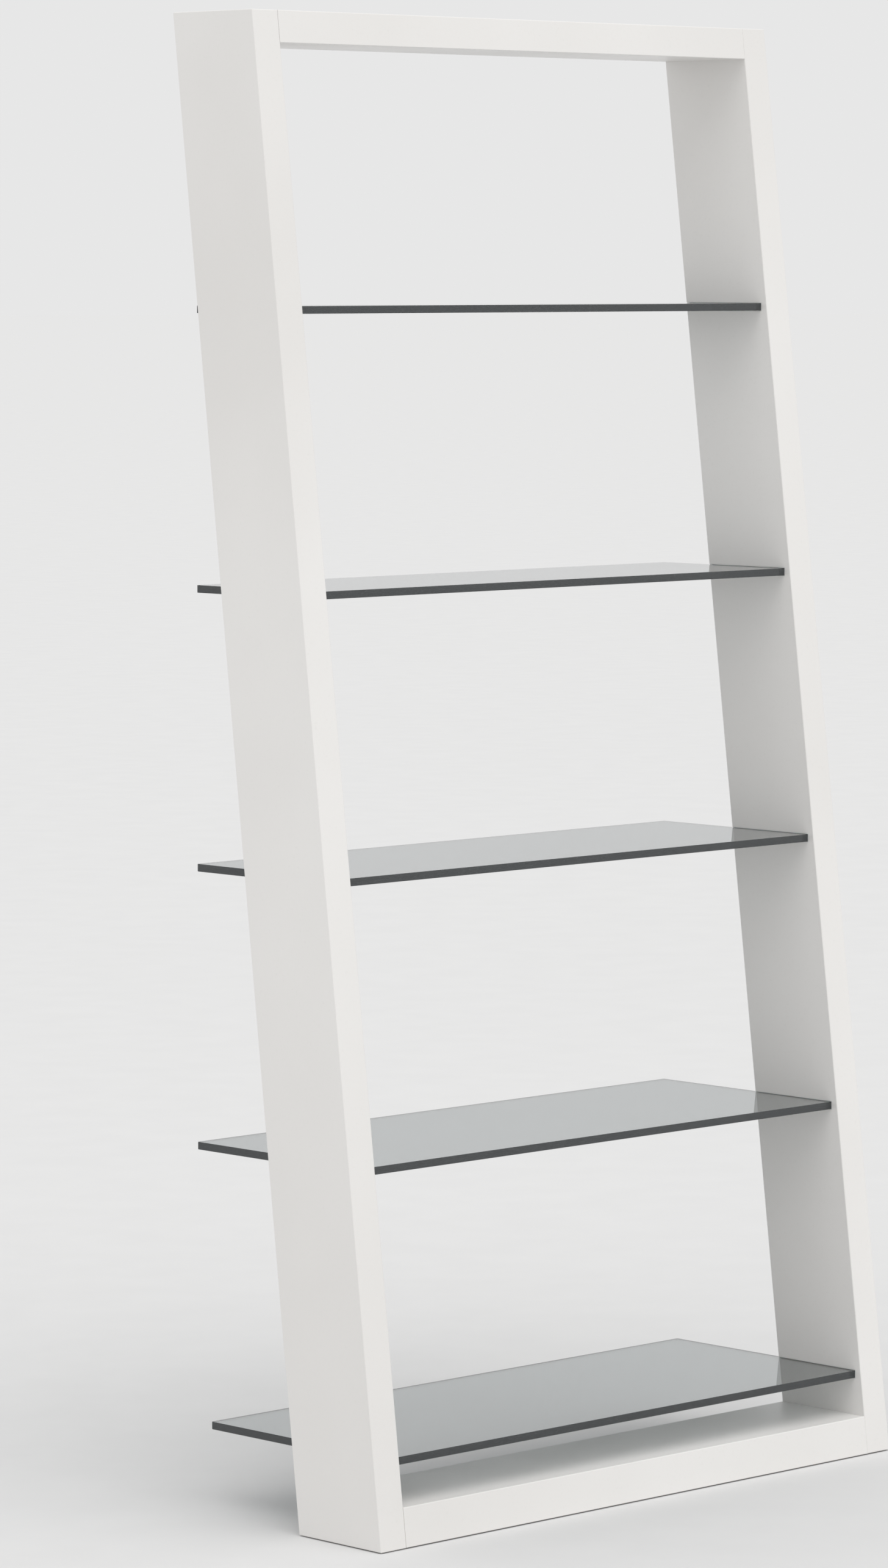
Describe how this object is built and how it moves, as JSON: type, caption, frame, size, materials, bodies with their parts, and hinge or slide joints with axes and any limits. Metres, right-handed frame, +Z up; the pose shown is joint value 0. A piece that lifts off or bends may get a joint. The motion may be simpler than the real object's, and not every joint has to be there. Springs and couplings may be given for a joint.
{
  "type": "leaning ladder shelf",
  "caption": "Leaning ladder shelf: a white rectangular frame that rests back against a wall, with level grey glass shelves let into its side boards, deeper towards the floor.",
  "frame": {"origin": "on the floor, at the centre of the overall footprint", "axes": "+Z up, -Y the open front, +Y the wall side, +X the right when seen from the front"},
  "size_m": [0.95, 0.3894, 1.9315],
  "materials": {
    "frame_lacquer": "satin white lacquer",
    "grey_glass": "grey tinted, polished edges",
    "lining": "soft translucent vinyl",
    "zinc": "die-cast zinc",
    "steel": "zinc plated",
    "beech": "raw beech",
    "cap_plastic": "matte white",
    "foot_steel": "dark zinc plated",
    "brass": "turned brass",
    "bracket_paint": "pale grey powder coat"
  },
  "bodies": {
    "frame": {"left_side_panel": "frame_lacquer", "right_side_panel": "frame_lacquer", "top_panel": "frame_lacquer", "bottom_panel": "frame_lacquer", "groove_liner_left_1": "lining", "groove_liner_left_2": "lining", "groove_liner_left_3": "lining", "groove_liner_left_4": "lining", "groove_liner_left_5": "lining", "groove_liner_right_1": "lining", "groove_liner_right_2": "lining", "groove_liner_right_3": "lining", "groove_liner_right_4": "lining", "groove_liner_right_5": "lining", "cam_locks": "zinc", "cam_bolts": "steel", "corner_dowels": "beech", "cam_caps": "cap_plastic", "foot_inserts": "brass", "left_wall_bracket": "bracket_paint", "right_wall_bracket": "bracket_paint", "bracket_screws": "steel"},
    "shelf_1": {"glass_shelf_1": "grey_glass"},
    "shelf_2": {"glass_shelf_2": "grey_glass"},
    "shelf_3": {"glass_shelf_3": "grey_glass"},
    "shelf_4": {"glass_shelf_4": "grey_glass"},
    "shelf_5": {"glass_shelf_5": "grey_glass"},
    "foot_front_left": {"levelling_foot_front_left": "foot_steel"},
    "foot_front_right": {"levelling_foot_front_right": "foot_steel"},
    "foot_back_left": {"levelling_foot_back_left": "foot_steel"},
    "foot_back_right": {"levelling_foot_back_right": "foot_steel"}
  },
  "joints": [
    {"name": "shelf_1_slide", "type": "slide", "parent": "frame", "child": "shelf_1", "axis": [0, 1, 0], "range_m": [0, 0.16]},
    {"name": "shelf_2_slide", "type": "slide", "parent": "frame", "child": "shelf_2", "axis": [0, 1, 0], "range_m": [0, 0.16]},
    {"name": "shelf_3_slide", "type": "slide", "parent": "frame", "child": "shelf_3", "axis": [0, 1, 0], "range_m": [0, 0.16]},
    {"name": "shelf_4_slide", "type": "slide", "parent": "frame", "child": "shelf_4", "axis": [0, 1, 0], "range_m": [0, 0.16]},
    {"name": "shelf_5_slide", "type": "slide", "parent": "frame", "child": "shelf_5", "axis": [0, 1, 0], "range_m": [0, 0.16]},
    {"name": "foot_front_left_screw", "type": "slide", "parent": "frame", "child": "foot_front_left", "axis": [0, 0, -1], "range_m": [0, 0.008]},
    {"name": "foot_front_right_screw", "type": "slide", "parent": "frame", "child": "foot_front_right", "axis": [0, 0, -1], "range_m": [0, 0.008]},
    {"name": "foot_back_left_screw", "type": "slide", "parent": "frame", "child": "foot_back_left", "axis": [0, 0, -1], "range_m": [0, 0.008]},
    {"name": "foot_back_right_screw", "type": "slide", "parent": "frame", "child": "foot_back_right", "axis": [0, 0, -1], "range_m": [0, 0.008]}
  ]
}
